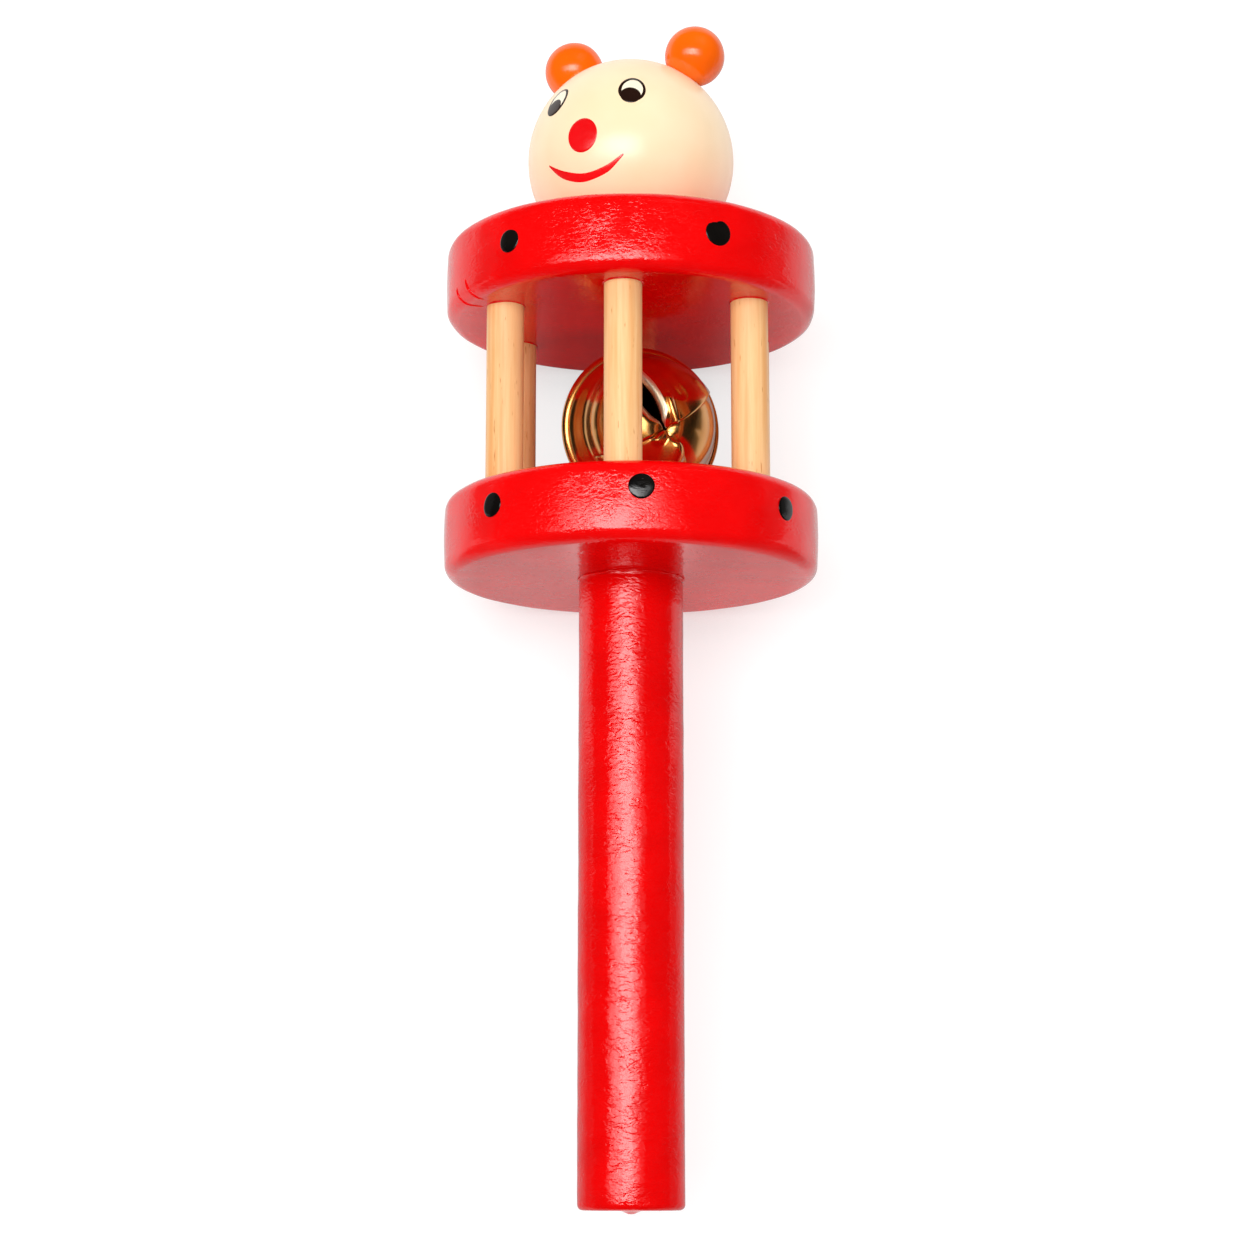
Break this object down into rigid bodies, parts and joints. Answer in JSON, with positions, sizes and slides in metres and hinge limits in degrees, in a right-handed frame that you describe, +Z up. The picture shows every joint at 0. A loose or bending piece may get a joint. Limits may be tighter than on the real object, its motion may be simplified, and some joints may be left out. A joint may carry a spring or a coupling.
{
  "type": "cage rattle",
  "caption": "Wooden hand rattle: a straight handle under a cage of pillars between two discs, a loose jingle bell inside, and a ball head with ears on top.",
  "frame": {"origin": "on the table, under the middle of the toy's length and width, as it lies on the rims of its two discs", "axes": "+Y along the toy's axis towards the head, +Z up from the table with the front of the cage looking up, +X to the right"},
  "size_m": [0.0576, 0.1838, 0.0575],
  "materials": {
    "red_paint": "thick glossy red paint on turned wood",
    "pillar_wood": "bare pale dowel, thinly lacquered",
    "cream_paint": "glossy cream paint on a turned ball",
    "dowel_wood": "bare dowel, glued in",
    "orange_paint": "glossy orange paint on a turned ball",
    "gold_plate": "bright gold plate on pressed sheet",
    "steel": "plain steel ball"
  },
  "bodies": {
    "cage": {"handle": "red_paint", "lower_disc": "red_paint", "upper_disc": "red_paint", "pillar_1": "pillar_wood", "pillar_2": "pillar_wood", "pillar_3": "pillar_wood", "pillar_4": "pillar_wood", "pillar_5": "pillar_wood", "pillar_6": "pillar_wood", "head": "cream_paint", "head_dowel": "dowel_wood", "ear_left": "orange_paint", "ear_right": "orange_paint", "ear_peg_left": "dowel_wood", "ear_peg_right": "dowel_wood"},
    "bell": {"bell_crown": "gold_plate", "bell_petals": "gold_plate", "bell_loop": "gold_plate"},
    "pellet": {"bell_pellet": "steel"}
  },
  "joints": [
    {"name": "bell_bounce", "type": "slide", "parent": "cage", "child": "bell", "axis": [0, 0, 1], "range_m": [0, 0.0126]},
    {"name": "pellet_bounce", "type": "slide", "parent": "bell", "child": "pellet", "axis": [0, 0, 1], "range_m": [0, 0.0158]}
  ]
}
